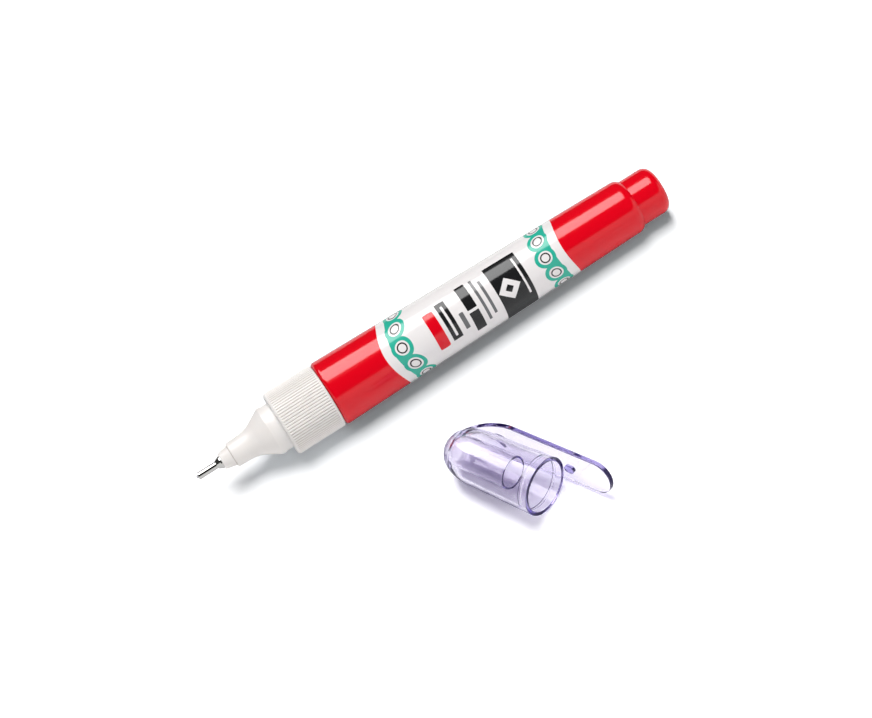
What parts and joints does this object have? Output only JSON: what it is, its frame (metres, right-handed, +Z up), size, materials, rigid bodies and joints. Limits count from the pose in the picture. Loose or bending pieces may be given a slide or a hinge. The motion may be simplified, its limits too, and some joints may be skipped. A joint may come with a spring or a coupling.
{
  "type": "correction pen",
  "caption": "Squeeze correction pen with a sprung metal needle tip, a ribbed white nozzle and a round rear stub, its clear clip cap lying beside it.",
  "frame": {"origin": "on the table, under the middle of the box round the pen and its cap", "axes": "+X along the pen from its needle to its rear stub, +Z up from the table, +Y from the cap's side to the pen's side"},
  "size_m": [0.127, 0.0702, 0.0165],
  "materials": {
    "printed_red_plastic": "smooth glossy moulding with a printed band round it",
    "white_plastic": "smooth satin moulding",
    "holder_plastic": "smooth satin moulding",
    "plated_metal": "bright turned and plated",
    "needle_steel": "bright ground wire",
    "cage_steel": "plain turned",
    "spring_steel": "bright drawn wire",
    "ball_steel": "polished",
    "clear_plastic": "clear polished moulding with a faint violet tint"
  },
  "bodies": {
    "pen": {"barrel": "printed_red_plastic", "nozzle": "white_plastic", "tip_holder": "holder_plastic", "tip_tube": "plated_metal", "spring_cage": "cage_steel", "needle_spring": "spring_steel", "mixing_ball": "ball_steel"},
    "needle": {"needle": "needle_steel"},
    "cap": {"cap": "clear_plastic"}
  },
  "joints": [
    {"name": "needle_press", "type": "slide", "parent": "pen", "child": "needle", "axis": [0.9999, 0, -0.0171], "range_m": [0, 0.0004], "stiffness_N_per_m": 300, "springref_m": -0.001, "deforming": ["needle_spring"]},
    {"name": "cap_slide", "type": "slide", "parent": "pen", "child": "cap", "axis": [0.4305, -0.9026, 0], "range_m": [0, 0.04]}
  ]
}
